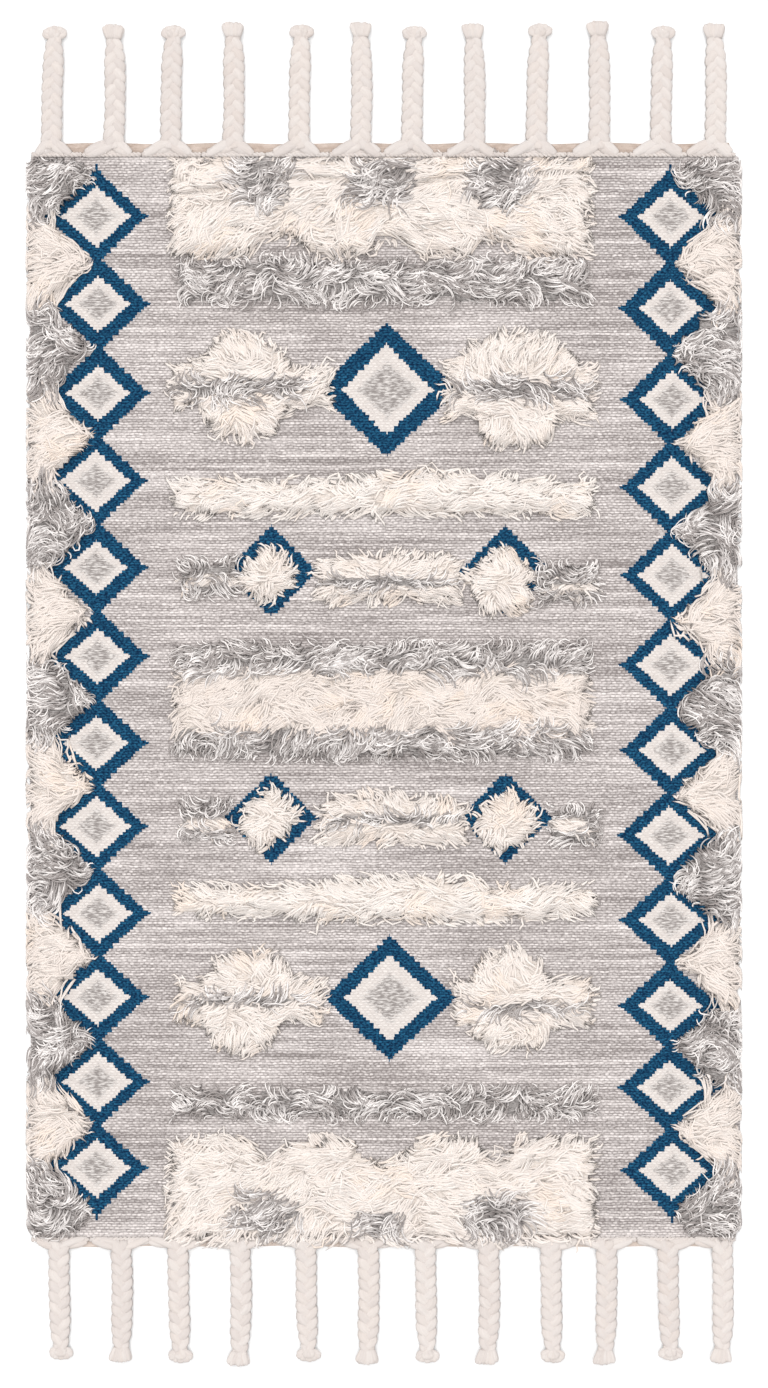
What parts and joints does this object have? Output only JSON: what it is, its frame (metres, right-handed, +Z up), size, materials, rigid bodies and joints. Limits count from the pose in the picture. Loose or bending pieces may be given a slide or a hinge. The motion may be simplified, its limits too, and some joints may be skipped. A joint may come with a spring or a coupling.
{
  "type": "wool rug",
  "caption": "Flat-woven wool rug with raised shag patches, a diamond border and thick plaited tassels along both ends.",
  "frame": {"origin": "middle of the footprint, on the floor", "axes": "+Z up from the floor, +Y along the rug, +X across it"},
  "size_m": [1.236, 2.3, 0.032],
  "materials": {
    "grey_weave": "heathered flat-woven wool with blue and off-white woven diamonds",
    "ivory_pile": "long warm ivory wool pile in combed locks",
    "grey_pile": "long curly wool pile of mixed grey and off-white yarn",
    "heading_weave": "plain woven beige strip",
    "plait_wool": "soft off-white wool roving"
  },
  "bodies": {
    "root": {"rug_body": "grey_weave", "heading_top": "heading_weave", "heading_bottom": "heading_weave", "tassel_top_01": "plait_wool", "tassel_top_02": "plait_wool", "tassel_top_03": "plait_wool", "tassel_top_04": "plait_wool", "tassel_top_05": "plait_wool", "tassel_top_06": "plait_wool", "tassel_top_07": "plait_wool", "tassel_top_08": "plait_wool", "tassel_top_09": "plait_wool", "tassel_top_10": "plait_wool", "tassel_top_11": "plait_wool", "tassel_top_12": "plait_wool", "tassel_bottom_01": "plait_wool", "tassel_bottom_02": "plait_wool", "tassel_bottom_03": "plait_wool", "tassel_bottom_04": "plait_wool", "tassel_bottom_05": "plait_wool", "tassel_bottom_06": "plait_wool", "tassel_bottom_07": "plait_wool", "tassel_bottom_08": "plait_wool", "tassel_bottom_09": "plait_wool", "tassel_bottom_10": "plait_wool", "tassel_bottom_11": "plait_wool", "tassel_bottom_12": "plait_wool"}
  },
  "joints": []
}
